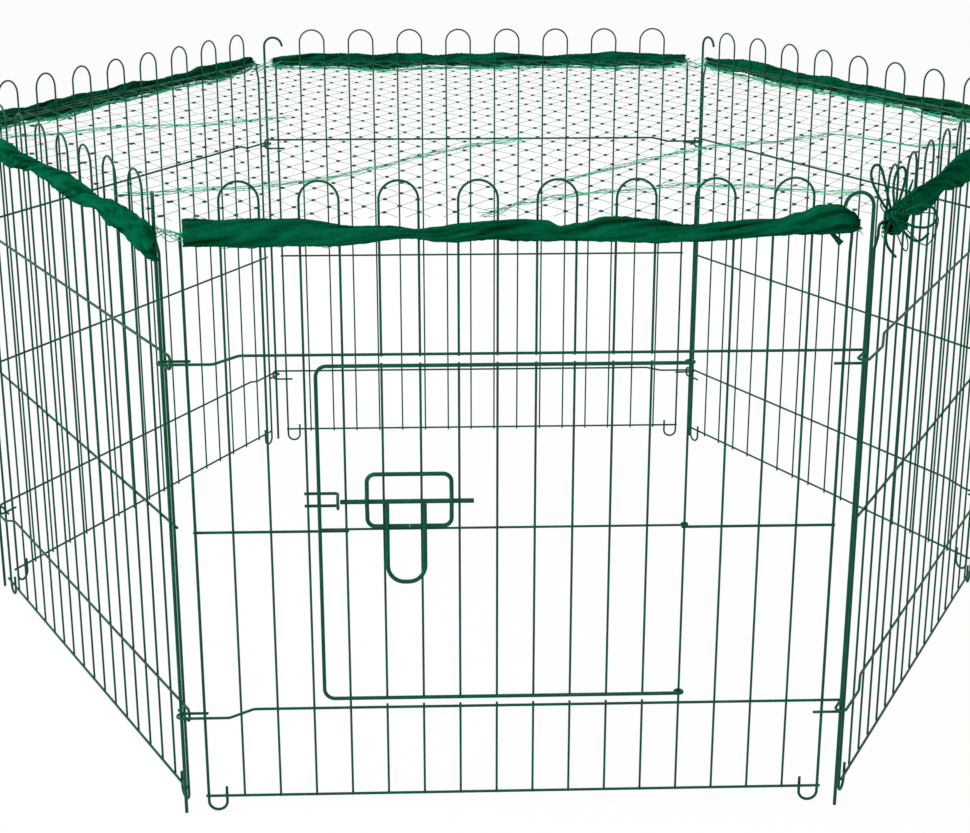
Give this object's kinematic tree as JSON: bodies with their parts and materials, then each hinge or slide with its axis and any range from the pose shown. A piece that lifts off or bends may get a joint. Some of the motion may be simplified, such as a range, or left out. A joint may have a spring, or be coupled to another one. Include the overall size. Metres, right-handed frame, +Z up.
{
  "type": "pet run",
  "caption": "Folding hexagonal wire pet run with hairpin-topped panels, corner rods, a bolted door and a knotted net cover tied over its open top.",
  "frame": {"origin": "middle of the footprint, on the floor", "axes": "+Z up, the door panel faces -Y, +X to the right as seen from in front of the door"},
  "size_m": [1.1222, 1.031, 0.5722],
  "materials": {
    "wire": "dark green coated steel wire",
    "hem": "dark green woven cloth",
    "net": "knotted green thread",
    "cord": "soft green cord"
  },
  "bodies": {
    "front_panel": {"front_frame": "wire", "front_hairpins": "wire", "front_hooked_rails": "wire", "front_mid_rail": "wire", "front_bottom_rail": "wire", "front_hem": "hem", "front_lintel_hairpins": "wire", "front_sill_bars": "wire", "latch_keeper": "wire"},
    "front_right_panel": {"front_right_frame": "wire", "front_right_hairpins": "wire", "front_right_hooked_rails": "wire", "front_right_mid_rail": "wire", "front_right_bottom_rail": "wire", "front_right_hem": "hem", "tie_knot": "cord", "tie_bows": "cord", "tie_ends": "cord"},
    "back_right_panel": {"back_right_frame": "wire", "back_right_hairpins": "wire", "back_right_hooked_rails": "wire", "back_right_mid_rail": "wire", "back_right_bottom_rail": "wire", "back_right_hem": "hem"},
    "back_panel": {"back_frame": "wire", "back_hairpins": "wire", "back_hooked_rails": "wire", "back_mid_rail": "wire", "back_bottom_rail": "wire", "back_hem": "hem", "net_cover": "net"},
    "back_left_panel": {"back_left_frame": "wire", "back_left_hairpins": "wire", "back_left_hooked_rails": "wire", "back_left_mid_rail": "wire", "back_left_bottom_rail": "wire", "back_left_hem": "hem"},
    "front_left_panel": {"front_left_frame": "wire", "front_left_hairpins": "wire", "front_left_hooked_rails": "wire", "front_left_mid_rail": "wire", "front_left_bottom_rail": "wire", "front_left_hem": "hem"},
    "door": {"door_frame": "wire", "door_mid_wire": "wire", "door_bars": "wire", "latch_guide": "wire"},
    "bolt": {"latch_bolt": "wire"},
    "pull": {"latch_pull": "wire"},
    "front_rod": {"front_corner_rod": "wire"},
    "front_right_rod": {"front_right_corner_rod": "wire"},
    "back_right_rod": {"back_right_corner_rod": "wire"},
    "back_rod": {"back_corner_rod": "wire"},
    "back_left_rod": {"back_left_corner_rod": "wire"},
    "front_left_rod": {"front_left_corner_rod": "wire"}
  },
  "joints": [
    {"name": "back_left_corner", "type": "hinge", "parent": "back_panel", "child": "back_left_panel", "pos_m": [-0.285, 0.50328, 0.26], "axis": [0, 0, 1], "range_deg": [-32, 0]},
    {"name": "left_corner", "type": "hinge", "parent": "back_left_panel", "child": "front_left_panel", "pos_m": [-0.5526, 0, 0.26], "axis": [0, 0, 1], "range_deg": [0, 64], "deforming": ["net_cover"]},
    {"name": "front_left_corner", "type": "hinge", "parent": "front_left_panel", "child": "front_panel", "pos_m": [-0.285, -0.50328, 0.26], "axis": [0, 0, 1], "range_deg": [-32, 0]},
    {"name": "back_right_corner", "type": "hinge", "parent": "back_panel", "child": "back_right_panel", "pos_m": [0.285, 0.50328, 0.26], "axis": [0, 0, 1], "range_deg": [0, 32]},
    {"name": "right_corner", "type": "hinge", "parent": "back_right_panel", "child": "front_right_panel", "pos_m": [0.5526, 0, 0.26], "axis": [0, 0, 1], "range_deg": [-64, 0]},
    {"name": "door_swing", "type": "hinge", "parent": "front_panel", "child": "door", "pos_m": [0.1401, -0.50118, 0.2595], "axis": [0, 0, 1], "range_deg": [0, 165]},
    {"name": "bolt_slide", "type": "slide", "parent": "door", "child": "bolt", "axis": [1, 0, 0], "range_m": [-0.0125, 0.018]},
    {"name": "pull_turn", "type": "hinge", "parent": "bolt", "child": "pull", "pos_m": [-0.0955, -0.50498, 0.2914], "axis": [-1, 0, 0], "range_deg": [0, 155]},
    {"name": "front_rod_lift", "type": "slide", "parent": "front_panel", "child": "front_rod", "axis": [0, 0, 1], "range_m": [0, 0.42]},
    {"name": "front_right_rod_lift", "type": "slide", "parent": "front_right_panel", "child": "front_right_rod", "axis": [0, 0, 1], "range_m": [0, 0.42]},
    {"name": "back_right_rod_lift", "type": "slide", "parent": "back_right_panel", "child": "back_right_rod", "axis": [0, 0, 1], "range_m": [0, 0.42]},
    {"name": "back_rod_lift", "type": "slide", "parent": "back_panel", "child": "back_rod", "axis": [0, 0, 1], "range_m": [0, 0.42]},
    {"name": "back_left_rod_lift", "type": "slide", "parent": "back_left_panel", "child": "back_left_rod", "axis": [0, 0, 1], "range_m": [0, 0.42]},
    {"name": "front_left_rod_lift", "type": "slide", "parent": "front_left_panel", "child": "front_left_rod", "axis": [0, 0, 1], "range_m": [0, 0.42]}
  ],
  "couplings": [
    {"joint": "back_left_corner", "follows": "left_corner", "ratio": -0.5},
    {"joint": "front_left_corner", "follows": "left_corner", "ratio": -0.5},
    {"joint": "back_right_corner", "follows": "left_corner", "ratio": 0.5},
    {"joint": "right_corner", "follows": "left_corner", "ratio": -1}
  ]
}
